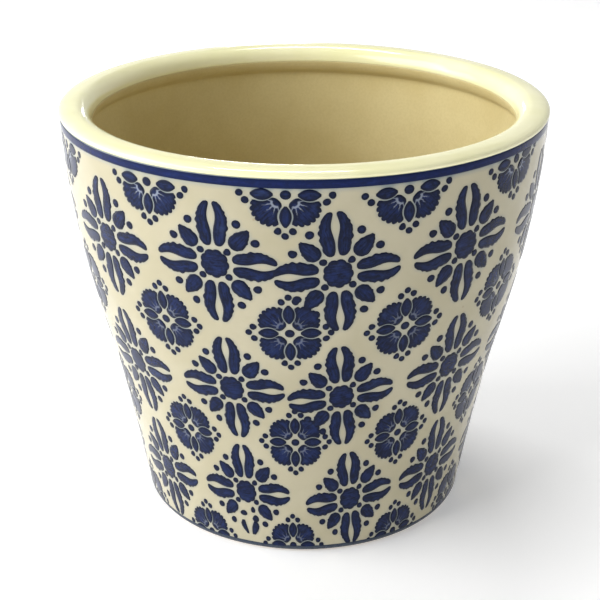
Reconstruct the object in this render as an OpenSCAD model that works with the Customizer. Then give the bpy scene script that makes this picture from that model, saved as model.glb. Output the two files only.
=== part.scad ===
// Glazed earthenware pot with an open flared body, a rolled lip and a blue printed pattern of
// four-petal medallions and round rosettes. Millimetres, +Z up, origin at the centre of the
// foot's resting plane, the pot's axis on Z.
//
// Every visible surface follows one profile, skin(). The clay is that profile moved inward by
// the glaze's thickness, and the print stands on it by its own thickness, so the layers meet
// face to face.

/* [Pot] */
// Height from the foot to the top of the lip
pot_h = 176.5; // [165:0.5:190]
// Outside diameter at the widest point, the lip's shoulder
rim_d = 201.2; // [192:0.2:210]
// Outside diameter at the foot, before its edge is rounded
base_d = 138; // [132:0.5:144]
// Thickness of the wall, glaze included
wall_t = 7.6; // [6.5:0.1:9]
// Thickness of the floor above the recess, glaze included
floor_t = 8; // [6:0.1:10]
// Radial thickness of the rolled lip
lip_t = 13.3; // [12.5:0.1:14.5]
// Radius that the inside wall turns into the floor with
corner_r = 12; // [8:0.5:16]

/* [Foot] */
// Rounding of the foot's outer edge
foot_edge_r = 2.4; // [1.5:0.1:3]
// Width of the bare ring that the pot stands on
foot_w = 8; // [6:0.5:12]
// Depth of the glazed recess inside the ring
foot_recess = 2; // [1.2:0.1:2.4]

/* [Glaze and print] */
// Thickness of the fired glaze, a little more than the real film
glaze_t = 0.6; // [0.4:0.05:0.8]
// Height that the blue print stands on the glaze
print_t = 0.25; // [0.15:0.05:0.3]
// Width of the blue line under the lip
rim_line_w = 3.6; // [2.4:0.1:4]
// Width of the dark line round the foot
foot_line_w = 2; // [1.5:0.1:2.5]

/* [Pattern] */
// Width and height of a medallion's petal cross against its drawn size
medallion_scale = 1; // [0.9:0.01:1.02]
// Width and height of a rosette against its drawn size
rosette_scale = 1; // [0.9:0.01:1.02]

/* [Hidden] */
$fn = 96;

cream = "#d9cfa6";
lip_cream = "#f2edcf";
straw = "#c9bd86";
terracotta = "#cdb491";
navy = "#27325a";
slate = "#39445a";

// --- The profile -----------------------------------------------------------------------------
rim_r = rim_d / 2;
base_r = base_d / 2;
line_top = pot_h - 3.1;          // where the blue line ends and the lip's roll begins
flare_h = pot_h - 4.5;           // height over which the wall flares
// Share of the flare reached at each tenth of that height: nearly straight low down, fullest
// at two thirds, then turning upright at the shoulder
flare = [0.035, 0.131, 0.226, 0.329, 0.443, 0.579, 0.707, 0.815, 0.896, 0.956, 0.987];

function share(t) = lookup(t * 10, [for (i = [0:10]) [i, flare[i]]]);
function outer_r(z) = base_r + (rim_r - base_r) * share(z / flare_h);

// The rolled lip: a shoulder that stands a little proud of the wall, a rounded crown, and a roll
// that turns back under itself inside
crown_r = rim_r - 6.6;           // radius of the crown's highest ring
shoulder_z = line_top + 0.9;     // height of the shoulder, the widest ring
lip_in = rim_r - lip_t;          // radius of the mouth
lip_mid = pot_h - 6.6;           // height of the lip's innermost point
function lip_out(a) = [crown_r + (rim_r - crown_r) * pow(cos(a), 0.87), shoulder_z + (pot_h - shoulder_z) * pow(sin(a), 0.87)];
function lip_inner(a) = [crown_r - (crown_r - lip_in) * sin(a), lip_mid + (pot_h - lip_mid) * cos(a)];

// Inside: back from the lip to the wall, down it, round the corner and over the floor
neck_z = pot_h - 15.5;           // height at which the roll has met the wall
floor_z = foot_recess + floor_t;
function inner_r(z) = outer_r(z) - wall_t;
corner_z = floor_z + corner_r;
corner_c = inner_r(corner_z) - corner_r;

wall_pts = [for (i = [0:10]) let (z = i == 0 ? foot_edge_r : flare_h * i / 10) [outer_r(z), z]];
line_z0 = line_top - rim_line_w;

// skin() runs from the foot's outer edge up the wall, over the lip, down inside, to the axis
outside = concat(
    [[outer_r(0) - 1.5, 0], [outer_r(1) - 0.7, 0.5], [outer_r(1.3) - 0.15, 1.4]],
    wall_pts,
    [[rim_r - 0.35, line_top]]);
crown = concat([for (a = [0:15:90]) lip_out(a)], [for (a = [15:15:105]) lip_inner(a)]);
inside = concat(
    [for (a = [120:15:150]) lip_inner(a)],
    [[inner_r(neck_z) - 0.45, neck_z + 2.2], [inner_r(neck_z), neck_z]],
    [for (i = [9:-1:2]) [inner_r(flare_h * i / 10), flare_h * i / 10]],
    [for (a = [0:15:90]) [corner_c + corner_r * cos(a), corner_z - corner_r * sin(a)]],
    [[0, floor_z]]);
skin = concat(outside, crown, inside);
n_out = len(outside);
n_crown = n_out + len(crown);

// Unit normal of the profile at point i, on the side that the air is
function unit(v) = v / norm(v);
function side(a, b) = let (d = unit(b - a)) [d[1], -d[0]];
function air(i) = i == 0 ? [1, 0] : i == len(skin) - 1 ? [0, 1]
    : unit(side(skin[i - 1], skin[i]) + side(skin[i], skin[i + 1]));
function moved(i, d) = let (q = skin[i] + d * air(i)) [max(q[0], 0), q[1]];

// The band between the profile moved by d0 and by d1, from point i to point j
module band(i, j, d0, d1) {
    rotate_extrude()
        polygon(concat([for (k = [i:j]) moved(k, d1)], [for (k = [j:-1:i]) moved(k, d0)]));
}

// --- The clay and its glaze ------------------------------------------------------------------
module clay_body() color(terracotta)
    rotate_extrude()
        polygon(concat(
            [[skin[0][0], 0]],
            [for (k = [1:len(skin) - 1]) moved(k, -glaze_t)],
            [[0, foot_recess + glaze_t],
             [base_r - foot_w - 3.5, foot_recess + glaze_t],
             [base_r - foot_w - 1.2, 0]]));

module wall_glaze() color(cream) band(2, n_out - 1, -glaze_t, 0);
module rim_glaze() color(lip_cream) band(n_out - 1, n_crown - 1, -glaze_t, 0);
module inner_glaze() color(straw) band(n_crown - 1, len(skin) - 1, -glaze_t, 0);

// Glaze pooled in the recess under the floor
module base_glaze() color(cream)
    rotate_extrude()
        polygon([[0, foot_recess], [0, foot_recess + glaze_t],
                 [base_r - foot_w - 3.5, foot_recess + glaze_t],
                 [base_r - foot_w - 3.5 + 2.3 * glaze_t / (foot_recess + glaze_t), foot_recess]]);

// --- The print -------------------------------------------------------------------------------
// The print's own skin: the wall's outer polyline from z0 to z1 and the same moved out by print_t
function wall_at(z) = [outer_r(z), z];
function knots(z0, z1) = concat([z0],
    [for (i = [1:10]) if (flare_h * i / 10 > z0 + 0.01 && flare_h * i / 10 < z1 - 0.01) flare_h * i / 10],
    [z1]);
module print_skin(z0, z1, a0, a1) {
    ks = knots(z0, z1);
    rotate([0, 0, a0])
        rotate_extrude(angle = a1 - a0)
            polygon(concat([for (z = ks) wall_at(z) + [print_t, 0]],
                           [for (i = [len(ks) - 1:-1:0]) wall_at(ks[i])]));
}

module rim_line() color(navy)
    rotate_extrude()
        polygon([wall_at(line_z0), wall_at(flare_h), [rim_r - 0.35, line_top],
                 [rim_r - 0.35 + print_t, line_top], wall_at(flare_h) + [print_t, 0], wall_at(line_z0) + [print_t, 0]]);

module foot_line() color(slate)
    rotate_extrude()
        polygon([skin[2], skin[3], wall_at(skin[2][1] + foot_line_w),
                 wall_at(skin[2][1] + foot_line_w) + [print_t, 0], skin[3] + [print_t, 0], skin[2] + [print_t, 0]]);

// A point (u, v) of a motif, u along the wall's turn and v along its slope, goes to the plane
// that faces the motif's middle. u keeps its angle, so a motif narrows with the pot.
pitch_r = 96;                    // radius at which a motif has its drawn width
slope = norm([rim_r - base_r, flare_h]) / flare_h;
function on_plane(p, s0) =
    let (z = (s0 + p[1]) / slope, a = p[0] / pitch_r * 180 / PI)
    [outer_r(min(max(z, 0), flare_h)) * sin(a), z];
function turned(p, a) = [p[0] * cos(a) - p[1] * sin(a), p[0] * sin(a) + p[1] * cos(a)];

// Prisms through the wall from islands of (u, v) points; the motif faces -Y
module prisms(islands, s0, tilt, k)
    translate([0, -base_r * 0.6, 0]) rotate([90, 0, 0])
        for (pts = islands)
            linear_extrude(height = rim_r)
                polygon([for (p = pts) on_plane(turned(p * k, tilt), s0)]);

function mirrored(pts) = [for (i = [len(pts) - 1:-1:0]) [-pts[i][0], pts[i][1]]];
function quarter(pts, k) = [for (p = pts) turned(p, 90 * k)];

// Medallion: a round heart, four pairs of petals and four leaves on the diagonals.
// This is the right petal of the pair that points up, bowed round an almond gap.
petal = concat(
    [for (t = [0.16, 0.6, 0.92]) [0.4 + 1.1 * pow(sin(180 * t), 3), 7.6 + 17.2 * t]],
    [[1.9, 25]],
    [for (t = [0.82, 0.5, 0.2]) [2.3 + 3.7 * pow(sin(180 * t), 0.6), 7.6 + 17.2 * t]],
    [[2.3, 7.4]]);
leaf = [for (a = [0:60:300]) [9.2, 9.3] + (3.9 + 1.7 * pow(max(0, cos(a)), 5)) * [cos(a + 45), sin(a + 45)]];
heart = [for (a = [0:36:324]) 5.5 * [cos(a), sin(a)]];
medallion = concat([heart],
    [for (k = [0:3]) each [quarter(petal, k), quarter(mirrored(petal), k), quarter(leaf, k)]]);

// Rosette: four almond leaves and four fans round a small eye
slim = [[0, 4.2], [2, 6.2], [2, 10.2], [0, 12.3], [-2, 10.2], [-2, 6.2]];
fan = concat([[1.7, 3.1], [2.8, 8]],
    [for (a = [15:20:75]) (11.9 + 2.4 * sin(2 * a)) * [sin(a), cos(a)]],
    [[8, 2.8], [3.1, 1.7]]);
eye = [for (a = [0:60:300]) 1.9 * [cos(a), sin(a)]];
rosette = concat([eye], [for (k = [0:3]) each [quarter(slim, k), quarter(fan, k)]]);
// What shows of a rosette under the rim line: its eye, three leaves and the two lower fans
hanging_rosette = concat([eye], [for (k = [1:3]) quarter(slim, k)], [for (k = [2:3]) quarter(fan, k)]);

// A row of motifs: each table gives a value at some columns, counted round from the print's seam,
// and the columns between share the space evenly. The first and the last column are cut where
// the print's two ends meet, halfway between them.
module row(islands, k, reach, where, height, tilts, z0, z1) {
    half_seam = min(19, (360 + lookup(0, where) - lookup(10, where)) / 2 - 0.15);
    for (c = [0:10]) {
        s0 = lookup(c, height);
        rotate([0, 0, lookup(c, where)])
            intersection() {
                print_skin(max(z0, s0 / slope - reach), min(z1, s0 / slope + reach),
                           270 - (c == 0 ? half_seam : 19), 270 + (c == 10 ? half_seam : 19));
                prisms(islands, s0, lookup(c, tilts), k);
            }
    }
}

foot_z = skin[2][1] + foot_line_w;

module upper_medallions() color(navy)
    row(medallion, medallion_scale, 28, [[0, 7.2], [1, 38.1], [9, 309.2], [10, 340.4]],
        [[0, 139.1], [1, 142.7], [9, 140], [10, 141.3]],
        [[0, 4.5], [1, 4.5], [9, 0], [10, 0.7]], foot_z, line_z0);
module middle_medallions() color(navy)
    row(medallion, medallion_scale, 28, [[0, 9.6], [1, 41.4], [9, 308.5], [10, 341.1]],
        [[0, 81.9], [1, 86.1], [9, 82.5], [10, 84.2]],
        [[0, 5.5], [1, 3.5], [9, 3], [10, 1.7]], foot_z, line_z0);
module lower_medallions() color(navy)
    row(medallion, medallion_scale, 28, [[0, 14.5], [1, 45.2], [9, 309.9], [10, 341.7]],
        [[0, 27.7], [1, 32.5], [9, 28.3], [10, 30.4]],
        [[0, 7], [1, 5.5], [9, 4.5], [10, 0.7]], foot_z, line_z0);

module rim_half_rosettes() color(navy)
    row(hanging_rosette, rosette_scale, 19, [[0, -3.9], [1, 21.8], [2, 52.9], [10, 325.1]],
        [[0, 170.4], [1, 170], [2, 171.3], [10, 169.4]],
        [[0, -0.5], [1, 3.5], [2, 5], [10, -0.3]], foot_z, line_z0);
module upper_rosettes() color(navy)
    row(rosette, rosette_scale, 19, [[0, -3.4], [1, 24.1], [2, 55.5], [9, 292], [10, 325.3]],
        [[0, 113.3], [1, 112.9], [2, 116], [10, 112]],
        [[0, 1.5], [1, 3.5], [2, 4.5], [10, 0.7]], foot_z, line_z0);
module lower_rosettes() color(navy)
    row(rosette, rosette_scale, 19, [[0, -2.5], [1, 27.7], [2, 59.1], [10, 325.4]],
        [[0, 58.9], [1, 58.4], [2, 62.2], [10, 57.5]],
        [[0, 0.5], [1, 6], [2, 3], [10, 1.7]], foot_z, line_z0);
module foot_half_rosettes() color(navy)
    row(rosette, rosette_scale, 19, [[0, -3.6], [1, 32], [2, 60.9], [10, 326.6]],
        [[0, 3.5], [1, 4], [2, 8], [10, 2.9]],
        [[0, 0.5], [1, 5.5], [2, 4], [10, 5]], foot_z, line_z0);

clay_body();
inner_glaze();
wall_glaze();
rim_glaze();
base_glaze();
rim_line();
foot_line();
upper_medallions();
middle_medallions();
lower_medallions();
rim_half_rosettes();
upper_rosettes();
lower_rosettes();
foot_half_rosettes();
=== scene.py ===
import math

import bpy
import numpy as np
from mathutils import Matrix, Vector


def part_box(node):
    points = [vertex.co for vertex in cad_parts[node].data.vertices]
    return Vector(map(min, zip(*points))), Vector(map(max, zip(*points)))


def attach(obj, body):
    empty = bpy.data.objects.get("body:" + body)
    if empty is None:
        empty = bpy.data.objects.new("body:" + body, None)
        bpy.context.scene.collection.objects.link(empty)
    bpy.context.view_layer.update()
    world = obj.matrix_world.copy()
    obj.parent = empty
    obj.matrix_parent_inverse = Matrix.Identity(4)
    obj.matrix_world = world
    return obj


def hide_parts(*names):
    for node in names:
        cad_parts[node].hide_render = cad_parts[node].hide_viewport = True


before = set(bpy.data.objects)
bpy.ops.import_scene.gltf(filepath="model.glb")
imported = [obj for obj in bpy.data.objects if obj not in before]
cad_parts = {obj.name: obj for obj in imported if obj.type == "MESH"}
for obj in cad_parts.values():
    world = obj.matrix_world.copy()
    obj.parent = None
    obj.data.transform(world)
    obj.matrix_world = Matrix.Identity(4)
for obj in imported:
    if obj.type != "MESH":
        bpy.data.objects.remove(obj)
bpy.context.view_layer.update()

MM = 0.001
TAU = 2 * math.pi

# ---------------------------------------------------------------------------------------------
# Camera: level with nothing, it looks along +Y and down into the mouth
# ---------------------------------------------------------------------------------------------
cam_data = bpy.data.cameras.new("camera")
cam_data.sensor_width = 36
cam_data.lens = 81.36
cam_data.clip_start = 0.05
cam = bpy.data.objects.new("camera", cam_data)
cam.location = (-0.00166, -0.5481, 0.3231)
cam.rotation_euler = (math.radians(90 - 23.56), 0, 0)
bpy.context.scene.collection.objects.link(cam)
bpy.context.scene.camera = cam

# ---------------------------------------------------------------------------------------------
# The pot's profile, the same as in CAD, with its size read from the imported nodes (mm)
# ---------------------------------------------------------------------------------------------
rim_lo, rim_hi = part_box("rim_glaze")
RIM_R = rim_hi.x / MM
POT_H = rim_hi.z / MM
BASE_R = RIM_R - 31.6
LINE_TOP = POT_H - 3.1
SHOULDER_Z = LINE_TOP + 0.9
FLARE_H = POT_H - 4.5
LINE_Z0 = LINE_TOP - 3.6
WALL_T = 7.6
LIP_IN = RIM_R - 13.3
CROWN_R = RIM_R - 6.6
LIP_MID = POT_H - 6.6
FLOOR_Z = 10.0
CORNER_R = 12.0
FLARE = np.array([0.035, 0.131, 0.226, 0.329, 0.443, 0.579, 0.707, 0.815, 0.896, 0.956, 0.987])
KZ = np.linspace(0, FLARE_H, 11)
KR = BASE_R + (RIM_R - BASE_R) * FLARE
KM = np.gradient(KR, KZ)
KM[-1] = 0.045


def hermite(x, X, Y, M):
    x = np.clip(x, X[0], X[-1])
    i = np.clip(np.searchsorted(X, x, side="right") - 1, 0, len(X) - 2)
    h = X[i + 1] - X[i]
    t = (x - X[i]) / h
    a, b = Y[i], Y[i + 1]
    ma, mb = M[i] * h, M[i + 1] * h
    return (2 * t**3 - 3 * t**2 + 1) * a + (t**3 - 2 * t**2 + t) * ma + (-2 * t**3 + 3 * t**2) * b + (t**3 - t**2) * mb


def wall_r(z):
    """Outside radius of the glazed wall at height z."""
    return hermite(np.asarray(z, float), KZ, KR, KM)


def wall_slope(z):
    return (wall_r(np.asarray(z) + 0.05) - wall_r(np.asarray(z) - 0.05)) / 0.1


ZT = np.linspace(0, LINE_TOP, 3000)
ST = np.concatenate([[0], np.cumsum(np.hypot(np.diff(ZT), np.diff(wall_r(ZT))))])


def z_of_s(s):
    return np.interp(s, ST, ZT)


def s_of_z(z):
    return np.interp(z, ZT, ST)


def wobble(th, z):
    """How far the hand-finished form is from a true turned one, in mm; never outside it."""
    w = 0.05 * np.sin(2 * th + 1.3 + z / 60) + 0.03 * np.sin(3 * th - z / 45 + 0.4) + 0.02 * np.sin(5 * th + z / 28)
    return (w - 0.1) * np.clip(z / 25, 0, 1)


def on_wall(th, z, h):
    """Points of the wall at angle th (0 faces -Y, growing towards +X) and height z, h mm off the glaze."""
    m = wall_slope(z)
    k = 1 / np.sqrt(1 + m * m)
    r = wall_r(z) + wobble(th, z) + h * k
    return np.stack([r * np.sin(th), -r * np.cos(th), z - h * k * m], -1) * MM


def smoothstep(x, a, b):
    t = np.clip((x - a) / (b - a), 0, 1)
    return t * t * (3 - 2 * t)


# ---------------------------------------------------------------------------------------------
# Mesh helpers
# ---------------------------------------------------------------------------------------------
def make_object(name, verts, faces, smooth=None, attrs=None):
    mesh = bpy.data.meshes.new(name)
    mesh.from_pydata(np.asarray(verts).tolist(), [], faces)
    mesh.update()
    flags = np.ones(len(mesh.polygons), bool) if smooth is None else np.asarray(smooth, bool)
    mesh.polygons.foreach_set("use_smooth", flags)
    for key, val in (attrs or {}).items():
        val = np.asarray(val, np.float32)
        if val.ndim == 1:
            a = mesh.attributes.new(key, "FLOAT", "POINT")
            a.data.foreach_set("value", val)
        else:
            a = mesh.attributes.new(key, "FLOAT_VECTOR", "POINT")
            a.data.foreach_set("vector", val.ravel())
    obj = bpy.data.objects.new(name, mesh)
    bpy.context.scene.collection.objects.link(obj)
    return obj


def revolve(name, rz, n, flat_rings=(), bend=None, attr=None):
    """A closed ring of profile points (r, z) turned once round Z in n steps. A point with r = 0 is one vertex."""
    rz = np.asarray(rz, float)
    th = np.arange(n) * TAU / n
    verts, ring = [], []
    at = []
    for r, z in rz:
        if r < 1e-6:
            ring.append((len(verts), 1))
            verts.append([0, 0, z * MM])
            at.append((0.0, z))
        else:
            ring.append((len(verts), n))
            rr = r + (bend(th, np.full(n, z)) if bend else 0)
            verts.extend(np.stack([rr * np.sin(th), -rr * np.cos(th), np.full(n, z)], -1) * MM)
            at.extend(zip(th, np.full(n, z)))
    faces, smooth = [], []
    m = len(rz)
    for i in range(m):
        (a, na), (b, nb) = ring[i], ring[(i + 1) % m]
        if na == 1 and nb == 1:
            continue
        for j in range(n):
            k = (j + 1) % n
            if na == 1:
                faces.append((a, b + k, b + j))
            elif nb == 1:
                faces.append((a + j, a + k, b))
            else:
                faces.append((a + j, a + k, b + k, b + j))
            smooth.append(i not in flat_rings)
    attrs = attr(np.array(at)) if attr else None
    return make_object(name, verts, faces, smooth, attrs)


def offset_profile(rz, d):
    """Profile points moved by d mm to the left of the way they run (the outside, for a wall that runs up)."""
    rz = np.asarray(rz, float)
    t = np.gradient(rz, axis=0)
    t /= np.linalg.norm(t, axis=1)[:, None]
    return rz + d * np.stack([t[:, 1], -t[:, 0]], -1)


def catmull(pts, n, closed=False):
    """n points along a smooth curve through pts."""
    p = np.asarray(pts, float)
    m = len(p)
    if closed:
        q = np.vstack([p[-1], p, p[0], p[1]])
        segs = m
    else:
        q = np.vstack([2 * p[0] - p[1], p, 2 * p[-1] - p[-2]])
        segs = m - 1
    x = np.arange(n) * segs / n if closed else np.linspace(0, segs, n)
    i = np.clip(x.astype(int), 0, segs - 1)
    t = (x - i)[:, None]
    a, b, c, d = q[i], q[i + 1], q[i + 2], q[i + 3]
    return 0.5 * (2 * b + (c - a) * t + (2 * a - 5 * b + 4 * c - d) * t**2 + (3 * b - a - 3 * c + d) * t**3)


# ---------------------------------------------------------------------------------------------
# The print's motifs. An island is a patch of points (u, v) in mm, u to the right and v up, with
# its edge distance, a local coordinate that the colour follows, its faces and its outline.
# ---------------------------------------------------------------------------------------------
def grid_island(G, kind, local=None):
    ni, nj = G.shape[:2]
    idx = np.arange(ni * nj).reshape(ni, nj)
    faces = [
        (int(idx[i, j]), int(idx[i, j + 1]), int(idx[i + 1, j + 1]), int(idx[i + 1, j]))
        for i in range(ni - 1)
        for j in range(nj - 1)
    ]
    loop = list(idx[0, :]) + list(idx[1:, -1]) + list(idx[-1, -2::-1]) + list(idx[-2:0:-1, 0])
    uv = G.reshape(-1, 2)
    rim = uv[loop]
    e = edge_distance(uv, rim)
    e[loop] = 0
    if local is None:
        w = np.linalg.norm(G[:, -1] - G[:, 0], axis=1)
        along = np.concatenate([[0], np.cumsum(np.linalg.norm(np.diff(G[:, nj // 2], axis=0), axis=1))])
        f = np.linspace(-0.5, 0.5, nj)
        local = np.stack([np.repeat(along, nj), (w[:, None] * f[None]).ravel()], -1)
    return {"uv": uv, "e": e, "loc": local, "faces": faces, "loop": [int(k) for k in loop], "kind": kind}


def edge_distance(p, rim):
    a, b = rim, np.roll(rim, -1, axis=0)
    ab = b - a
    l2 = (ab**2).sum(1) + 1e-12
    t = np.clip(((p[:, None] - a) * ab).sum(-1) / l2, 0, 1)
    d = p[:, None] - a - t[..., None] * ab
    return np.sqrt((d**2).sum(-1)).min(1)


def ribbon(left, right, ni, nj, kind, wave=0.0):
    """A stroke between two outlines; wave roughens the right one as a brush's edge does, in mm."""
    L, R = catmull(left, ni), catmull(right, ni)
    if wave:
        x = np.linspace(0, 1, ni)
        out = R - L
        out /= np.linalg.norm(out, axis=1)[:, None] + 1e-9
        R = R + out * (wave * np.sin(math.pi * x) ** 0.5 * np.sin(TAU * 7.3 * x + 0.8))[:, None]
    f = np.linspace(0, 1, nj)[None, :, None]
    return grid_island(L[:, None] * (1 - f) + R[:, None] * f, kind)


def disc(c, radius, seg, rings, kind):
    """radius is a function of the angle; rings are shares of it, the first of them 0."""
    ph = np.arange(seg) * TAU / seg
    r = radius(ph)
    uv = [np.zeros((1, 2))]
    for f in rings[1:]:
        uv.append(np.stack([f * r * np.cos(ph), f * r * np.sin(ph)], -1))
    uv = np.vstack(uv) + np.asarray(c, float)
    faces = [(0, 1 + j, 1 + (j + 1) % seg) for j in range(seg)]
    for k in range(len(rings) - 2):
        a, b = 1 + k * seg, 1 + (k + 1) * seg
        faces += [(a + j, b + j, b + (j + 1) % seg, a + (j + 1) % seg) for j in range(seg)]
    last = 1 + (len(rings) - 2) * seg
    loop = [last + j for j in range(seg)]
    e = edge_distance(uv, uv[loop])
    e[loop] = 0
    return {"uv": uv, "e": e, "loc": uv - np.asarray(c, float), "faces": faces, "loop": loop, "kind": kind}


def moved_island(isl, turn=0, flip_u=False, flip_v=False, shift=(0, 0), scale=(1, 1)):
    uv = isl["uv"] * np.asarray(scale, float)
    if flip_u:
        uv = uv * [-1, 1]
    if flip_v:
        uv = uv * [1, -1]
    a = math.radians(turn)
    uv = uv @ np.array([[math.cos(a), math.sin(a)], [-math.sin(a), math.cos(a)]]) + np.asarray(shift, float)
    out = dict(isl, uv=uv)
    if flip_u != flip_v:
        out["faces"] = [f[::-1] for f in isl["faces"]]
        out["loop"] = isl["loop"][::-1]
    return out


PETAL_IN = [(2.0, 7.3), (1.05, 7.75), (0.58, 8.9), (0.4, 10.4), (0.4, 12.0), (0.52, 13.5), (0.78, 15.0), (1.12, 16.4),
            (1.42, 17.8), (1.56, 19.2), (1.47, 20.6), (1.17, 22.0), (0.85, 23.2), (0.65, 24.2), (0.9, 24.95), (1.6, 25.25)]
PETAL_OUT = [(2.7, 7.3), (3.8, 7.85), (4.65, 9.1), (5.15, 10.6), (5.35, 11.9), (5.45, 13.1), (6.05, 14.2), (6.3, 15.5),
             (5.95, 16.7), (6.15, 17.9), (6.15, 19.0), (5.5, 20.1), (5.45, 21.2), (4.6, 22.2), (4.15, 23.5), (2.7, 25.0)]
PETAL_OUT_B = [(2.7, 7.3), (3.85, 7.9), (4.75, 9.2), (5.2, 10.6), (5.15, 11.8), (5.75, 12.9), (6.15, 14.2), (5.8, 15.4),
               (6.25, 16.6), (6.3, 17.8), (5.7, 18.9), (5.85, 20.0), (5.2, 21.1), (4.85, 22.3), (3.9, 23.7), (2.6, 25.0)]
LEAF_HIGH = [(9.3, 0.5), (9.7, 1.75), (10.8, 2.8), (12.4, 3.4), (13.7, 3.2), (14.9, 3.25), (16.0, 2.6), (17.0, 2.25), (18.0, 1.6), (18.9, 1.2)]
LEAF_LOW = [(9.3, -0.4), (9.8, -1.7), (11.0, -2.7), (12.5, -3.2), (13.9, -2.85), (15.0, -2.8), (16.2, -2.0), (17.3, -1.45), (18.3, -0.6), (19.05, 0.15)]
D45 = np.array([[math.sqrt(0.5), math.sqrt(0.5)], [-math.sqrt(0.5), math.sqrt(0.5)]])


def scallops(n, r, depth, phase=0.0):
    return lambda ph: r - depth + 2 * depth * np.abs(np.cos(n * ph / 2 + phase)) ** 0.8


def dot(c, r, rng):
    a, b, p = rng.uniform(-0.07, 0.07, 2).tolist() + [rng.uniform(0, TAU)]
    return disc(c, lambda ph: r * (1 + a * np.cos(2 * ph + p) + b * np.cos(3 * ph - p)), 16, (0, 0.55, 0.84, 1), 3)


def medallion_template():
    rng = np.random.default_rng(11)
    isl = [disc((0, 0), lambda ph: scallops(9, 5.55, 0.3, 0.5)(ph) * (1 + 0.035 * np.cos(2 * ph + 3.1)), 54, (0, 0.3, 0.55, 0.78, 0.92, 1), 2)]
    pa = ribbon(PETAL_IN, PETAL_OUT, 38, 8, 0, 0.13)
    pb = ribbon(PETAL_IN, PETAL_OUT_B, 38, 8, 0, 0.13)
    for k in range(4):
        sx = 1.0 + rng.uniform(-0.03, 0.03)
        sy = (0.99, 0.93, 0.985, 0.93)[k]
        first, second = (pa, pb) if k % 2 == 0 else (pb, pa)
        isl.append(moved_island(first, turn=90 * k, scale=(sx, sy)))
        isl.append(moved_island(second, turn=90 * k, flip_u=True, scale=(sx, sy * (1 + rng.uniform(-0.012, 0.012)))))
    leaf = ribbon(np.array(LEAF_HIGH) @ D45, np.array(LEAF_LOW) @ D45, 24, 8, 1, 0.1)
    for fu in (False, True):
        for fv in (False, True):
            s = 1 + rng.uniform(-0.03, 0.03)
            isl.append(moved_island(leaf, flip_u=fu, flip_v=fv, scale=(s, s * 1.01)))
    for su in (-1, 1):
        for sv in (-1, 1):
            isl.append(dot((su * 5.1, sv * 5.2), 1.45, rng))
            isl.append(dot((su * 9.1, sv * 16.7), 1.66, rng))
            isl.append(dot((su * 15.6, sv * 9.5), 1.66, rng))
    return isl


def broken_medallion():
    """A medallion whose lower petals came out of the print in pieces."""
    rng = np.random.default_rng(31)
    isl = [m for m in MEDALLION if not (m["kind"] == 0 and m["uv"][:, 1].mean() < -10)]
    oval = lambda c, a, b, turn: moved_island(disc((0, 0), lambda ph: 1 + 0.05 * np.cos(3 * ph + a), 20, (0, 0.5, 0.8, 1), 3), turn=turn, scale=(a, b), shift=c)
    isl.append(oval((-2.7, -11.9), 2.0, 1.45, 0))
    isl.append(oval((2.8, -9.6), 1.25, 1.65, 0))
    isl.append(oval((3.9, -14.2), 1.85, 1.85, 0))
    isl.append(ribbon([(-4.1, -15.7), (-5.0, -18.0), (-3.9, -20.6), (-1.8, -23.1)], [(-2.5, -15.7), (-1.9, -18.3), (-1.2, -20.7), (-0.7, -23.1)], 14, 6, 0))
    isl.append(ribbon([(2.7, -15.9), (1.5, -18.8), (1.2, -21.0), (1.2, -23.2)], [(4.7, -15.9), (5.6, -18.4), (4.8, -20.9), (3.0, -23.3)], 14, 6, 0, 0.1))
    return isl


def side_gap(v):
    """Half width of a rosette's leaf at v, and its gap to the fan."""
    return 2.25 * np.sin(math.pi * np.clip((v - 4.3) / 8.1, 0.02, 0.98)) ** 0.6


def fan_island():
    inner = catmull([(1.15, 4.4), (1.25, 3.4), (1.75, 2.6), (2.6, 1.75), (3.4, 1.25), (4.4, 1.15)], 36)
    sv = np.array([4.4, 5.2, 6.1, 7.0, 8.2, 9.4, 10.4, 11.3])
    su = np.maximum(side_gap(sv) + 0.46, [1.15, 0, 0, 0, 0, 0, 0, 2.25])
    nside = catmull(np.stack([su, sv], -1), 13)
    eside = catmull(np.stack([sv, su], -1), 13)
    nside[0], eside[0] = inner[0], inner[-1]
    psi = np.linspace(11.3, 78.7, 43)
    base = 13.95 - 2.3 * np.abs((psi - 44) / 32.7) ** 2.2
    teeth = np.abs(np.sin(math.pi * 7 * (psi - 11.3) / 67.4)) ** 0.6
    r = base - 0.6 + 0.85 * teeth
    outer = np.stack([r * np.sin(np.radians(psi)), r * np.cos(np.radians(psi))], -1)
    outer[0], outer[-1] = nside[-1], eside[-1]
    ns, nt = 13, 43
    inner = catmull(inner[::5].tolist() + [inner[-1].tolist()] if (len(inner) - 1) % 5 else inner[::5], nt)
    s = np.linspace(0, 1, ns)[:, None, None]
    t = np.linspace(0, 1, nt)[None, :, None]
    G = (1 - s) * inner[None] + s * outer[None] + (1 - t) * nside[:, None] + t * eside[:, None]
    G -= (1 - s) * (1 - t) * inner[0] + (1 - s) * t * inner[-1] + s * (1 - t) * outer[0] + s * t * outer[-1]
    uv = G.reshape(-1, 2)
    local = np.stack([uv @ [math.sqrt(0.5), math.sqrt(0.5)], uv @ [math.sqrt(0.5), -math.sqrt(0.5)]], -1)
    return grid_island(G, 4, local)


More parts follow.
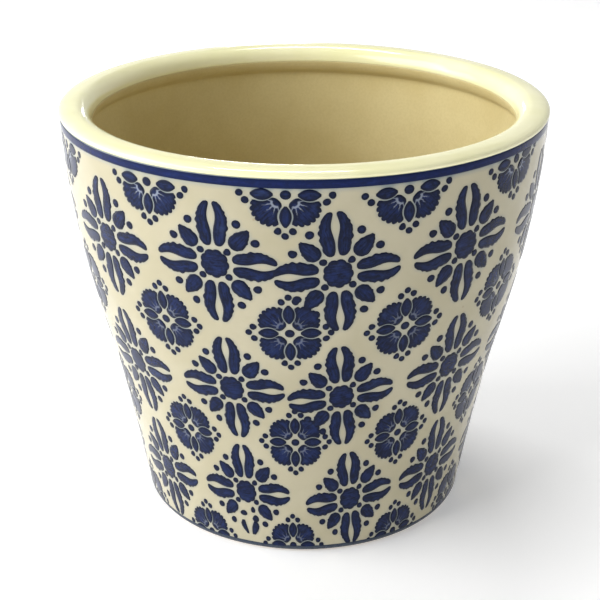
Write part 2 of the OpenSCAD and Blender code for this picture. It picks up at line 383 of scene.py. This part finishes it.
def rosette_template():
    rng = np.random.default_rng(23)
    isl = [disc((0, 0), lambda ph: 1.85 * (1 + 0.04 * np.cos(2 * ph)), 20, (0, 0.5, 0.8, 1), 3)]
    v = 4.3 + 8.1 * np.linspace(0, 1, 17)
    w = side_gap(v)
    slim = ribbon(np.stack([-w, v], -1), np.stack([w, v], -1), 22, 7, 5)
    fan = fan_island()
    for k in range(4):
        s = 1 + rng.uniform(-0.025, 0.025)
        isl.append(moved_island(slim, turn=90 * k, scale=(1 + rng.uniform(-0.05, 0.05), s)))
        s = 1 + rng.uniform(-0.02, 0.02)
        isl.append(moved_island(fan, turn=90 * k, scale=(s, s)))
        a = math.radians(90 * k)
        for c, r in (((-2.6, 13.95), 1.4), ((2.65, 14.05), 1.4), ((0.05, 15.95), 1.36)):
            p = (c[0] * math.cos(a) - c[1] * math.sin(a), c[0] * math.sin(a) + c[1] * math.cos(a))
            isl.append(dot(p, r, rng))
    return isl


MEDALLION = medallion_template()
BROKEN = broken_medallion()
ROSETTE = rosette_template()
HANGING = [m for m in ROSETTE if m["uv"][:, 1].mean() < 1.2]   # what shows of one under the rim line

# ---------------------------------------------------------------------------------------------
# Where the motifs sit. Eleven columns are counted round from the seam where the print's two ends
# meet; each table gives [column, degrees or mm], and the columns between share the space evenly.
# ---------------------------------------------------------------------------------------------
PITCH_R = 96.0
ROWS = [
    # name, template, angles, heights along the wall, turns in degrees
    ("upper_medallions", MEDALLION, [(0, 7.2), (1, 38.1), (9, 309.2), (10, 340.4)], [(0, 139.1), (1, 142.7), (9, 140), (10, 141.3)],
     [(0, 4.5), (1, 4.5), (9, 0), (10, 0.7)]),
    ("middle_medallions", MEDALLION, [(0, 9.6), (1, 41.4), (9, 308.5), (10, 341.1)], [(0, 81.9), (1, 86.1), (9, 82.5), (10, 84.2)],
     [(0, 5.5), (1, 3.5), (9, 3), (10, 1.7)]),
    ("lower_medallions", MEDALLION, [(0, 14.5), (1, 45.2), (9, 309.9), (10, 341.7)], [(0, 27.7), (1, 32.5), (9, 28.3), (10, 30.4)],
     [(0, 7), (1, 5.5), (9, 4.5), (10, 0.7)]),
    ("rim_half_rosettes", HANGING, [(0, -3.9), (1, 21.8), (2, 52.9), (10, 325.1)], [(0, 170.4), (1, 170), (2, 171.3), (10, 169.4)],
     [(0, -0.5), (1, 3.5), (2, 5), (10, -0.3)]),
    ("upper_rosettes", ROSETTE, [(0, -3.4), (1, 24.1), (2, 55.5), (9, 292), (10, 325.3)], [(0, 113.3), (1, 112.9), (2, 116), (10, 112)],
     [(0, 1.5), (1, 3.5), (2, 4.5), (10, 0.7)]),
    ("lower_rosettes", ROSETTE, [(0, -2.5), (1, 27.7), (2, 59.1), (10, 325.4)], [(0, 58.9), (1, 58.4), (2, 62.2), (10, 57.5)],
     [(0, 0.5), (1, 6), (2, 3), (10, 1.7)]),
    ("foot_half_rosettes", ROSETTE, [(0, -3.6), (1, 32), (2, 60.9), (10, 326.6)], [(0, 3.5), (1, 4), (2, 8), (10, 2.9)],
     [(0, 0.5), (1, 5.5), (2, 4), (10, 5)]),
]
S_TOP = s_of_z(LINE_Z0)
S_BOTTOM = s_of_z(3.0)


def table(c, rows):
    return float(np.interp(c, [r[0] for r in rows], [r[1] for r in rows]))


PRINT_H = 0.09      # mm that the print's flat stands off the glaze
PRINT_EDGE = 0.05   # and its edge
placed = []         # outlines on the wall, for the tint round the print


def print_row(name, template, angles, heights, turns):
    rng = np.random.default_rng(len(name) * 7 + 3)
    verts, faces, smooth, edge, loc = [], [], [], [], []
    base = 0
    for c in range(11):
        th0 = math.radians(table(c, angles))
        s0 = table(c, heights)
        tilt = math.radians(table(c, turns))
        ca, sa = math.cos(tilt), math.sin(tilt)
        lift = 0.02 if c == 0 else 0.0   # the first column's end lies over the last column's
        for n, isl in enumerate(BROKEN if name == "lower_medallions" and c == 10 else template):
            uv = isl["uv"] @ np.array([[ca, sa], [-sa, ca]])
            uv = uv + rng.uniform(-0.05, 0.05, 2)
            s = s0 + uv[:, 1]
            if s.max() < S_BOTTOM + 0.4 or s.min() > S_TOP - 0.4:
                continue
            cut = (s > S_TOP + 0.5) | (s < S_BOTTOM - 0.5)
            s = np.clip(s, S_BOTTOM - 0.5, S_TOP + 0.5)
            th = th0 + uv[:, 0] / PITCH_R
            z = z_of_s(s)
            e = isl["e"]
            top = on_wall(th, z, PRINT_EDGE + (PRINT_H - PRINT_EDGE) * smoothstep(e, 0, 0.45) + lift)
            low = on_wall(th, z, np.full(len(z), -0.06))
            m = len(uv)
            keep = [f for f in isl["faces"] if not all(cut[list(f)])]
            faces += [tuple(base + k for k in f) for f in keep]
            faces += [tuple(base + m + k for k in f[::-1]) for f in keep]
            smooth += [True] * len(keep) + [False] * len(keep)
            if cut.any():
                # the outline of what is left, from the edges that only one kept face has
                once = {}
                for f in keep:
                    for a, b in zip(f, f[1:] + f[:1]):
                        if (b, a) in once:
                            del once[(b, a)]
                        else:
                            once[(a, b)] = 1
                sides = list(once)
            else:
                lp = isl["loop"]
                sides = list(zip(lp, lp[1:] + lp[:1]))
            faces += [(base + b, base + a, base + m + a, base + m + b) for a, b in sides]
            smooth += [False] * len(sides)
            verts.append(top)
            verts.append(low)
            edge.append(np.tile(e, 2))
            seed = n * 3.7 + c * 1.9
            l3 = np.stack([isl["loc"][:, 0], isl["loc"][:, 1], np.full(m, isl["kind"] * 100 + seed)], -1)
            loc.append(np.tile(l3, (2, 1)))
            base += 2 * m
            placed.append((th[isl["loop"]], s[isl["loop"]]))
    verts = np.vstack(verts)
    edge = np.concatenate(edge)
    loc = np.vstack(loc)
    used = np.zeros(len(verts), bool)
    for f in faces:
        used[list(f)] = True
    if not used.all():
        new = np.cumsum(used) - 1
        verts, edge, loc = verts[used], edge[used], loc[used]
        faces = [tuple(int(new[k]) for k in f) for f in faces]
    obj = make_object(name + "_print", verts, faces, smooth, {"edge_mm": edge, "stroke": loc})
    return obj


print_objects = {}
for row in ROWS:
    print_objects[row[0]] = print_row(*row)


# ---------------------------------------------------------------------------------------------
# How much the glaze is tinted by cobalt near the print: a soft map of the print over the wall
# ---------------------------------------------------------------------------------------------
CELL_T, CELL_S = TAU / 1440, 0.4
NT, NS = 1440, int(LINE_TOP * 1.03 / CELL_S) + 12
mask = np.zeros((NT, NS), np.float32)
for th, s in placed:
    ti = (th / CELL_T)
    i0, i1 = int(math.floor(ti.min())), int(math.ceil(ti.max()))
    j0, j1 = max(0, int(s.min() / CELL_S)), min(NS - 1, int(math.ceil(s.max() / CELL_S)))
    X, Y = np.meshgrid(np.arange(i0, i1 + 1), np.arange(j0, j1 + 1), indexing="ij")
    px, py = ti, s / CELL_S
    inside = np.zeros(X.shape, bool)
    for k in range(len(px)):
        x1, y1, x2, y2 = px[k], py[k], px[k - 1], py[k - 1]
        if y1 == y2:
            continue
        hit = ((Y > min(y1, y2)) & (Y <= max(y1, y2))) & (X <= (Y - y1) * (x2 - x1) / (y2 - y1) + x1)
        inside ^= hit
    mask[X % NT, Y] = np.maximum(mask[X % NT, Y], inside)
j_line = int(S_TOP / CELL_S)
mask[:, j_line:] = 1
mask[:, : int(S_BOTTOM / CELL_S)] = 1


def box_blur(a, r, axis, wrap):
    pad = [(0, 0), (0, 0)]
    pad[axis] = (r + 1, r)
    b = np.pad(a, pad, mode="wrap" if wrap else "edge")
    c = np.cumsum(b, axis=axis)
    n = a.shape[axis]
    hi = np.take(c, np.arange(2 * r + 1, 2 * r + 1 + n), axis=axis)
    lo = np.take(c, np.arange(0, n), axis=axis)
    return (hi - lo) / (2 * r + 1)


halo = mask.astype(np.float64)
for _ in range(3):
    halo = box_blur(halo, 2, 0, True)
    halo = box_blur(halo, 2, 1, False)


def halo_at(th, z):
    x = (th / CELL_T) % NT
    y = np.clip(s_of_z(z) / CELL_S, 0, NS - 2)
    i, j = x.astype(int), y.astype(int)
    fx, fy = x - i, y - j
    i2 = (i + 1) % NT
    i = i % NT
    return (halo[i, j] * (1 - fx) * (1 - fy) + halo[i2, j] * fx * (1 - fy) + halo[i, j + 1] * (1 - fx) * fy + halo[i2, j + 1] * fx * fy)


# ---------------------------------------------------------------------------------------------
# Glaze skins: thin closed shells over the clay
# ---------------------------------------------------------------------------------------------
def foot_r(z):
    z = np.asarray(z, float)
    k = np.clip(1 - z / 2.4, 0, 1)
    return wall_r(z) - 1.9 * (1 - np.sqrt(1 - k * k * 0.998))


def shell(name, outer, inner_step, n, bend, attr=None, thick=0.5):
    """A band of glaze: its visible profile, then back along its underside."""
    under = offset_profile(outer, -thick)
    keep = np.unique(np.concatenate([np.arange(0, len(under), inner_step), [len(under) - 1]]))
    under = under[keep][::-1]
    m = len(outer)
    flat = {m - 1, m + len(under) - 1}
    return revolve(name, np.vstack([outer, under]), n, flat, bend, attr)


N_WALL = 480
zw = np.concatenate([np.array([0.9, 1.2, 1.6, 2.0, 2.4, 3.0]), np.linspace(4.0, LINE_TOP, 152)])
wall_obj = shell(
    "wall_glaze_skin", np.stack([foot_r(zw), zw], -1), 14, N_WALL, wobble,
    lambda at: {"tint": halo_at(at[:, 0], np.clip(at[:, 1], 0, LINE_TOP))},
)

a = np.linspace(0, math.pi / 2, 22)
shoulder = np.array([[float(wall_r(FLARE_H)), LINE_TOP - 0.02], [RIM_R - 0.28, LINE_TOP + 0.12], [RIM_R - 0.12, LINE_TOP + 0.34], [RIM_R - 0.03, LINE_TOP + 0.6]])
crown_out = np.stack([CROWN_R + (RIM_R - CROWN_R) * np.cos(a) ** 0.87, SHOULDER_Z + (POT_H - SHOULDER_Z) * np.sin(a) ** 0.87], -1)


def roll(lo, hi, n):
    x = np.radians(np.linspace(lo, hi, n))
    return np.stack([CROWN_R - (CROWN_R - LIP_IN) * np.sin(x), LIP_MID + (POT_H - LIP_MID) * np.cos(x)], -1)


def inner_wall_r(z):
    return wall_r(z) - WALL_T


ROLL_END = 91.0    # degrees round the roll at which the lip's cream glaze gives way to the inside's darker, browner copy of it, painted shade
lip_profile = np.vstack([shoulder, crown_out, roll(0, ROLL_END, 26)[1:]])


def rim_bend(th, z):
    return wobble(th, np.minimum(z, LINE_TOP))


rim_obj = shell("rim_glaze_skin", lip_profile, 3, 480, rim_bend)

corner_z = FLOOR_Z + CORNER_R
corner_c = float(inner_wall_r(corner_z)) - CORNER_R
neck = catmull([tuple(roll(150, 150, 1)[0]), (float(inner_wall_r(POT_H - 13.3)) - 0.5, POT_H - 13.4), (float(inner_wall_r(POT_H - 15)) - 0.08, POT_H - 14.9),
                (float(inner_wall_r(POT_H - 16.5)), POT_H - 16.5)], 14)
zd = np.linspace(POT_H - 16.5, corner_z, 60)[1:]
ac = np.linspace(0, math.pi / 2, 14)[1:]
floor_r = np.linspace(corner_c, 0, 16)[1:]
inner_profile = np.vstack([
    roll(ROLL_END, 150, 14),
    neck[1:],
    np.stack([inner_wall_r(zd), zd], -1),
    np.stack([corner_c + CORNER_R * np.cos(ac), corner_z - CORNER_R * np.sin(ac)], -1),
    np.stack([floor_r, np.full(len(floor_r), FLOOR_Z)], -1),
])
under = offset_profile(inner_profile, -0.5)
under = under[np.unique(np.concatenate([np.arange(0, len(under), 3), [len(under) - 1]]))][::-1]
under[0, 0] = 0.0
m_in = len(inner_profile)


def inner_bend(th, z):
    return rim_bend(th, z) * np.clip((z - FLOOR_Z - 2) / 30, 0, 1)


inner_obj = revolve("inner_glaze_skin", np.vstack([inner_profile, under]), 360, {m_in - 1, m_in + len(under) - 1}, inner_bend)

# Underside: glaze pooled in the recess, with a soft meniscus where it was wiped off the foot ring
lo_b, hi_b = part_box("base_glaze")
rb, z0b, z1b = hi_b.x / MM, lo_b.z / MM, hi_b.z / MM
rr = np.concatenate([np.linspace(0, rb - 3, 12), rb - 3 + 2.6 * np.sin(np.linspace(0, math.pi / 2, 8)[1:])])
zz = z0b + 0.06 + 0.5 * np.clip((rr - (rb - 3)) / 2.6, 0, 1) ** 3
base_profile = np.vstack([np.stack([rr, zz], -1)[::1], [[rb - 0.6, z1b - 0.02]], [[0.0, z1b - 0.02]]])


def base_bend(th, z):
    return 0.35 * np.sin(3 * th + 0.7) + 0.25 * np.sin(7 * th + 2.1) + 0.15 * np.sin(13 * th)


base_obj = revolve("base_glaze_skin", base_profile, 240, {len(rr), len(rr) + 1}, lambda th, z: base_bend(th, z) * 0.0)


# ---------------------------------------------------------------------------------------------
# The two lines
# ---------------------------------------------------------------------------------------------
def line_band(name, z0, z1, h, n, waves, radius, lean=0.0):
    """A line round the wall, printed at the rim and a dark slate band at the foot: a low domed band with softly uneven
    edges.
    """
    th = np.arange(n) * TAU / n
    f = np.array([0, 0.06, 0.16, 0.35, 0.5, 0.65, 0.84, 0.94, 1.0])
    lift = np.array([0.03, 0.75, 0.95, 1, 1, 1, 0.95, 0.75, 0.03]) * h
    rng = np.random.default_rng(5)
    ph = rng.uniform(0, TAU, 8)
    lower = z0 + lean * np.sin(th) + waves * (np.sin(4 * th + ph[0]) + 0.6 * np.sin(9 * th + ph[1]) + 0.4 * np.sin(23 * th + ph[2])) / 2
    upper = z1 + lean * np.sin(th) + waves * (np.sin(3 * th + ph[3]) + 0.6 * np.sin(11 * th + ph[4]) + 0.4 * np.sin(19 * th + ph[5])) / 2
    verts, edge, loc = [], [], []
    for top in (True, False):
        for k, x in enumerate(f if top else f[::4]):
            z = lower + (upper - lower) * x
            hh = lift[k] if top else -0.08
            verts.append(radius(th, z, hh))
            edge.append(np.minimum(x, 1 - x) * (z1 - z0) * np.ones(n))
            loc.append(np.stack([th * 90, np.full(n, x * (z1 - z0)), np.full(n, 700.0)], -1))
    rows = len(f) + 3
    order = list(range(len(f))) + list(range(rows - 1, len(f) - 1, -1))
    faces, smooth = [], []
    for q in range(len(order)):
        a_, b_ = order[q] * n, order[(q + 1) % len(order)] * n
        for j in range(n):
            k = (j + 1) % n
            faces.append((a_ + j, a_ + k, b_ + k, b_ + j))
            smooth.append(q < len(f) - 1)
    return make_object(name, np.vstack(verts), faces, smooth, {"edge_mm": np.concatenate(edge), "stroke": np.vstack(loc)})


def edge_wall(th, z, h):
    m = wall_slope(z)
    k = 1 / np.sqrt(1 + m * m)
    r = foot_r(z) + wobble(th, np.minimum(z, LINE_TOP)) + h * k
    return np.stack([r * np.sin(th), -r * np.cos(th), z - h * k * m * (z > 5)], -1) * MM


rim_line_obj = line_band("rim_line_print", LINE_Z0 + 0.08, LINE_TOP - 0.3, 0.12, 600, 0.06, edge_wall, 0.25)
# A dark slate band round the lower edge of the foot, from 0.75 to 3.15 mm up.
foot_line_obj = line_band("foot_dark_band", 0.75, 3.15, 0.12, 480, 0.1, edge_wall)


# ---------------------------------------------------------------------------------------------
# Materials
# ---------------------------------------------------------------------------------------------
class Nodes:
    def __init__(self, name):
        self.m = bpy.data.materials.new(name)
        self.m.use_nodes = True
        self.t = self.m.node_tree
        self.t.nodes.clear()
        self.out = self.t.nodes.new("ShaderNodeOutputMaterial")
        self.b = self.t.nodes.new("ShaderNodeBsdfPrincipled")
        self.link(self.b.outputs[0], self.out.inputs[0])

    def link(self, a, b):
        self.t.links.new(a, b)

    def node(self, kind, **props):
        n = self.t.nodes.new(kind)
        for k, v in props.items():
            setattr(n, k, v)
        return n

    def put(self, socket, value):
        if isinstance(value, bpy.types.NodeSocket):
            self.link(value, socket)
        else:
            socket.default_value = value

    def math(self, op, a, b=0.0, clamp=False):
        n = self.node("ShaderNodeMath", operation=op, use_clamp=clamp)
        self.put(n.inputs[0], a)
        self.put(n.inputs[1], b)
        return n.outputs[0]

    def mix(self, f, a, b):
        n = self.node("ShaderNodeMix", data_type="RGBA")
        self.put(n.inputs[0], f)
        self.put(n.inputs[6], a)
        self.put(n.inputs[7], b)
        return n.outputs[2]

    def ramp(self, x, lo, hi, y0=0.0, y1=1.0):
        n = self.node("ShaderNodeMapRange", interpolation_type="SMOOTHSTEP")
        self.put(n.inputs[0], x)
        for i, v in enumerate((lo, hi, y0, y1)):
            n.inputs[i + 1].default_value = v
        return n.outputs[0]

    def coords(self):
        return self.node("ShaderNodeTexCoord").outputs["Object"]

    def scaled(self, vec, s):
        n = self.node("ShaderNodeMapping")
        self.link(vec, n.inputs[0])
        n.inputs[3].default_value = s
        return n.outputs[0]

    def noise(self, vec, scale, detail=2.0, rough=0.5, distortion=0.0):
        n = self.node("ShaderNodeTexNoise")
        self.link(vec, n.inputs["Vector"])
        n.inputs["Scale"].default_value = scale
        n.inputs["Detail"].default_value = detail
        n.inputs["Roughness"].default_value = rough
        n.inputs["Distortion"].default_value = distortion
        return n.outputs[0]

    def attr(self, name, out="Fac"):
        return self.node("ShaderNodeAttribute", attribute_name=name).outputs[out]

    def bump(self, height, strength, distance):
        n = self.node("ShaderNodeBump")
        n.inputs["Strength"].default_value = strength
        n.inputs["Distance"].default_value = distance
        self.link(height, n.inputs["Height"])
        self.link(n.outputs[0], self.b.inputs["Normal"])

    def gloss(self, ior=1.5, coat=0.0, coat_rough=0.03):
        self.b.inputs["IOR"].default_value = ior
        self.b.inputs["Coat Weight"].default_value = coat
        self.b.inputs["Coat Roughness"].default_value = coat_rough


def rgb(r, g, b):
    return (r, g, b, 1.0)


def glaze_material(name, light, deep, tint, rough, speck=0.5, tinted=True, grain=0.0, ior=1.36):
    n = Nodes(name)
    co = n.coords()
    broad = n.noise(co, 22, 3, 0.55)
    cloud = n.noise(co, 95, 3, 0.6)
    fine = n.noise(co, 900, 2, 0.6)
    col = n.mix(n.ramp(broad, 0.36, 0.66), light, deep)
    col = n.mix(n.math("MULTIPLY", n.ramp(cloud, 0.5, 0.72), 0.35), col, deep)
    if tinted:
        t = n.ramp(n.attr("tint"), 0.02, 0.6, 0.0, 0.62)
        col = n.mix(t, col, tint)
        col = n.mix(n.ramp(n.attr("tint"), 0.5, 0.9, 0.0, 0.7), col, rgb(0.13, 0.18, 0.22))
    if grain:
        col = n.mix(n.math("MULTIPLY", n.ramp(fine, 0.35, 0.7), grain), col, rgb(deep[0] * 0.72, deep[1] * 0.7, deep[2] * 0.66))
    # sparse iron specks
    v = n.node("ShaderNodeTexVoronoi", feature="F1")
    n.link(co, v.inputs["Vector"])
    v.inputs["Scale"].default_value = 130
    keep = n.ramp(n.noise(co, 41, 1), 0.62, 0.66)
    spot = n.math("MULTIPLY", n.ramp(v.outputs["Distance"], 0.05, 0.09, 1.0, 0.0), n.math("MULTIPLY", keep, speck))
    col = n.mix(spot, col, rgb(0.33, 0.25, 0.15))
    n.link(col, n.b.inputs["Base Color"])
    n.link(n.ramp(cloud, 0.3, 0.7, rough, rough + 0.05), n.b.inputs["Roughness"])
    h = n.math("ADD", n.math("MULTIPLY", n.noise(co, 60, 2, 0.5), 1.0), n.math("MULTIPLY", fine, 0.05))
    n.bump(h, 0.25, 0.0006)
    n.gloss(ior, 0.0)
    return n.m


def print_material(name, dark, mid, pale, rough, ior=1.33, star_strength=1.0):
    n = Nodes(name)
    stroke = n.attr("stroke", "Vector")
    e = n.attr("edge_mm")
    co = n.coords()
    # streaks that run along each stroke, and darker pooled colour along its edge
    streak = n.noise(n.scaled(stroke, (0.22, 1.5, 0.37)), 1.0, 3, 0.6, 0.3)
    wash = n.noise(co, 160, 3, 0.6)
    mottle = n.noise(co, 420, 3, 0.65)
    lit = n.math("MULTIPLY", n.ramp(e, 0.3, 1.6), n.ramp(n.math("ADD", n.math("MULTIPLY", streak, 0.55), n.math("MULTIPLY", mottle, 0.45)), 0.40, 0.62))
    col = n.mix(lit, dark, mid)
    col = n.mix(n.math("MULTIPLY", n.ramp(wash, 0.55, 0.75), n.ramp(e, 0.3, 1.2, 0.0, 0.35)), col, pale)
    # a pale star inside each fan, where the colour thinned: a crescent and rays, kind 4 strokes only
    sep = n.node("ShaderNodeSeparateXYZ")
    n.link(stroke, sep.inputs[0])
    is_fan = n.math("MULTIPLY", n.math("GREATER_THAN", sep.outputs[2], 399.0), n.math("LESS_THAN", sep.outputs[2], 499.0))
    wig = n.math("SUBTRACT", n.noise(n.scaled(stroke, (1.3, 1.3, 0.5)), 1.0, 2, 0.6), 0.5)
    da = n.math("SUBTRACT", sep.outputs[0], 4.1)
    db = n.math("ADD", sep.outputs[1], n.math("MULTIPLY", wig, 0.9))
    rho = n.math("SQRT", n.math("ADD", n.math("MULTIPLY", da, da), n.math("MULTIPLY", db, db)))
    phi = n.math("ARCTAN2", db, da)
    front = n.ramp(n.math("ABSOLUTE", phi), 0.95, 1.35, 1.0, 0.0)
    crescent = n.ramp(n.math("ABSOLUTE", n.math("SUBTRACT", rho, 1.7)), 0.2, 0.6, 0.8, 0.0)
    apart = n.math("DIVIDE", n.math("MULTIPLY", n.math("ABSOLUTE", n.math("SINE", n.math("MULTIPLY", phi, 6.0))), rho), 6.0)
    ray = n.math("MULTIPLY", n.ramp(apart, 0.06, 0.26, 0.75, 0.0), n.ramp(n.math("ADD", rho, n.math("MULTIPLY", wig, 3.0)), 2.6, 5.2, 1.0, 0.0))
    star = n.math("MULTIPLY", n.math("MAXIMUM", crescent, n.math("MULTIPLY", ray, n.math("GREATER_THAN", rho, 1.4))), n.math("MULTIPLY", front, is_fan))
    col = n.mix(n.math("MULTIPLY", star, star_strength), col, rgb(0.34, 0.38, 0.46))
    n.link(col, n.b.inputs["Base Color"])
    n.link(n.ramp(wash, 0.3, 0.7, rough, rough + 0.06), n.b.inputs["Roughness"])
    n.bump(n.math("ADD", n.noise(co, 60, 2, 0.5), n.math("MULTIPLY", streak, 0.02)), 0.25, 0.0006)
    n.gloss(ior, 0.0)
    return n.m


def clay_material():
    n = Nodes("bare_clay")
    co = n.coords()
    broad = n.noise(co, 30, 4, 0.6)
    grit = n.noise(co, 700, 3, 0.7)
    col = n.mix(n.ramp(broad, 0.3, 0.7), rgb(0.62, 0.5, 0.36), rgb(0.52, 0.4, 0.28))
    col = n.mix(n.ramp(grit, 0.58, 0.72, 0.0, 0.6), col, rgb(0.36, 0.27, 0.18))
    n.link(col, n.b.inputs["Base Color"])
    n.link(n.ramp(grit, 0.3, 0.7, 0.8, 0.92), n.b.inputs["Roughness"])
    n.bump(grit, 0.5, 0.0004)
    n.gloss(1.45)
    return n.m


# The wall and the lip wear one cream glaze, given here as lit and shaded copies: the lip's copy is painted nearly twice
# as light (painted light on the up-facing lip), and the wall's is painted darker (painted shade on the steep side
# wall).
wall_mat = glaze_material("wall_cream_glaze_painted_shade", rgb(0.49, 0.449, 0.318), rgb(0.442, 0.40, 0.268), rgb(0.315, 0.332, 0.303), 0.12)
rim_mat = glaze_material("rim_cream_glaze_painted_light", rgb(0.93, 0.90, 0.58), rgb(0.885, 0.86, 0.50), rgb(0.8, 0.8, 0.8), 0.08, 0.1, tinted=False, ior=1.5)
# The inside wears the same cream glaze; this copy is painted darker and browner, painted shade of the pot's interior.
inner_mat = glaze_material("inner_glaze_painted_shade", rgb(0.655, 0.56, 0.295), rgb(0.60, 0.50, 0.245), rgb(0.8, 0.8, 0.8), 0.3, 0.15, tinted=False, grain=0.15)
base_mat = glaze_material("base_cream_glaze", rgb(0.78, 0.71, 0.50), rgb(0.70, 0.62, 0.41), rgb(0.8, 0.8, 0.8), 0.2, 0.8, tinted=False)
blue_mat = print_material("cobalt_print", rgb(0.0025, 0.006, 0.024), rgb(0.008, 0.019, 0.085), rgb(0.03, 0.055, 0.16), 0.16, 1.24, 0.38)
blue_rim_mat = print_material("cobalt_print_at_the_rim", rgb(0.0025, 0.006, 0.024), rgb(0.008, 0.019, 0.085), rgb(0.03, 0.055, 0.16), 0.16, 1.24, 0.8)
line_mat = print_material("cobalt_line", rgb(0.002, 0.009, 0.055), rgb(0.004, 0.014, 0.10), rgb(0.01, 0.03, 0.15), 0.14, 1.24)
foot_mat = print_material("slate_line", rgb(0.030, 0.042, 0.065), rgb(0.055, 0.075, 0.11), rgb(0.12, 0.14, 0.18), 0.25)
clay_mat = clay_material()


def dress(obj, mat, slot, *nodes):
    obj.data.materials.clear()
    obj.data.materials.append(mat)
    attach(obj, "root")
    if nodes:
        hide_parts(*nodes)


dress(wall_obj, wall_mat, "wall_glaze", "wall_glaze")
dress(rim_obj, rim_mat, "rim_glaze", "rim_glaze")
dress(inner_obj, inner_mat, "inner_glaze", "inner_glaze")
dress(base_obj, base_mat, "wall_glaze", "base_glaze")
dress(rim_line_obj, line_mat, "blue_print", "rim_line")
dress(foot_line_obj, foot_mat, "foot_print", "foot_line")
for name, obj in print_objects.items():
    dress(obj, blue_rim_mat if name == "rim_half_rosettes" else blue_mat, "blue_print", name)

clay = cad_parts["clay_body"]
for slot in clay.material_slots:
    slot.material = clay_mat
if not clay.material_slots:
    clay.data.materials.append(clay_mat)

# ---------------------------------------------------------------------------------------------
# Floor and light
# ---------------------------------------------------------------------------------------------
g = np.linspace(-1, 1, 41)
gx, gy = np.meshgrid(np.sign(g) * np.abs(g) ** 1.6 * 4.0, np.sign(g) * np.abs(g) ** 1.6 * 4.0, indexing="ij")
sweep = np.maximum(np.hypot(gx, gy) - 2.2, 0)      # the floor sweeps up into a round white backdrop
fv = np.stack([gx, gy, sweep ** 2 * 0.6 - 0.0001], -1).reshape(-1, 3)
fi = np.arange(41 * 41).reshape(41, 41)
ff = [(int(fi[i, j]), int(fi[i + 1, j]), int(fi[i + 1, j + 1]), int(fi[i, j + 1])) for i in range(40) for j in range(40)]
floor = make_object("floor", fv, ff)
fn = Nodes("floor_white")
fco = fn.coords()
fn.link(fn.mix(fn.ramp(fn.noise(fco, 3, 2), 0.3, 0.7), rgb(0.93, 0.93, 0.93), rgb(0.90, 0.90, 0.90)), fn.b.inputs["Base Color"])
fn.b.inputs["Roughness"].default_value = 0.7
fn.b.inputs["Emission Color"].default_value = (1, 1, 1, 1)
fn.b.inputs["Emission Strength"].default_value = 0.28
floor.data.materials.append(fn.m)


def area(name, loc, target, size, power, color=(1, 1, 1), size_y=None):
    d = bpy.data.lights.new(name, "AREA")
    d.energy = power
    d.color = color
    d.size = size
    if size_y:
        d.shape = "RECTANGLE"
        d.size_y = size_y
    o = bpy.data.objects.new(name, d)
    o.location = loc
    from mathutils import Vector
    o.rotation_euler = (Vector(target) - Vector(loc)).to_track_quat("-Z", "Y").to_euler()
    bpy.context.scene.collection.objects.link(o)
    return o


area("key_left", (-1.33, -0.52, 1.0), (0, 0, 0.1), 1.5, 32, size_y=1.3)
area("side_left", (-1.25, 0.25, 0.35), (0, 0, 0.1), 0.6, 4, size_y=0.8)
area("overhead", (-0.15, 0.72, 1.9), (0, 0, 0.15), 0.8, 15, size_y=0.12)
area("back", (-0.06, 1.6, 0.36), (0, 0, 0.17), 0.14, 0.6, size_y=0.07)

world = bpy.data.worlds.new("studio")
bpy.context.scene.world = world
world.use_nodes = True
bg = world.node_tree.nodes.get("Background") or world.node_tree.nodes.new("ShaderNodeBackground")
bg.inputs[0].default_value = (1, 1, 1, 1)
bg.inputs[1].default_value = 0.07
bpy.context.scene.view_settings.view_transform = "Standard"

# ---------------------------------------------------------------------------------------------
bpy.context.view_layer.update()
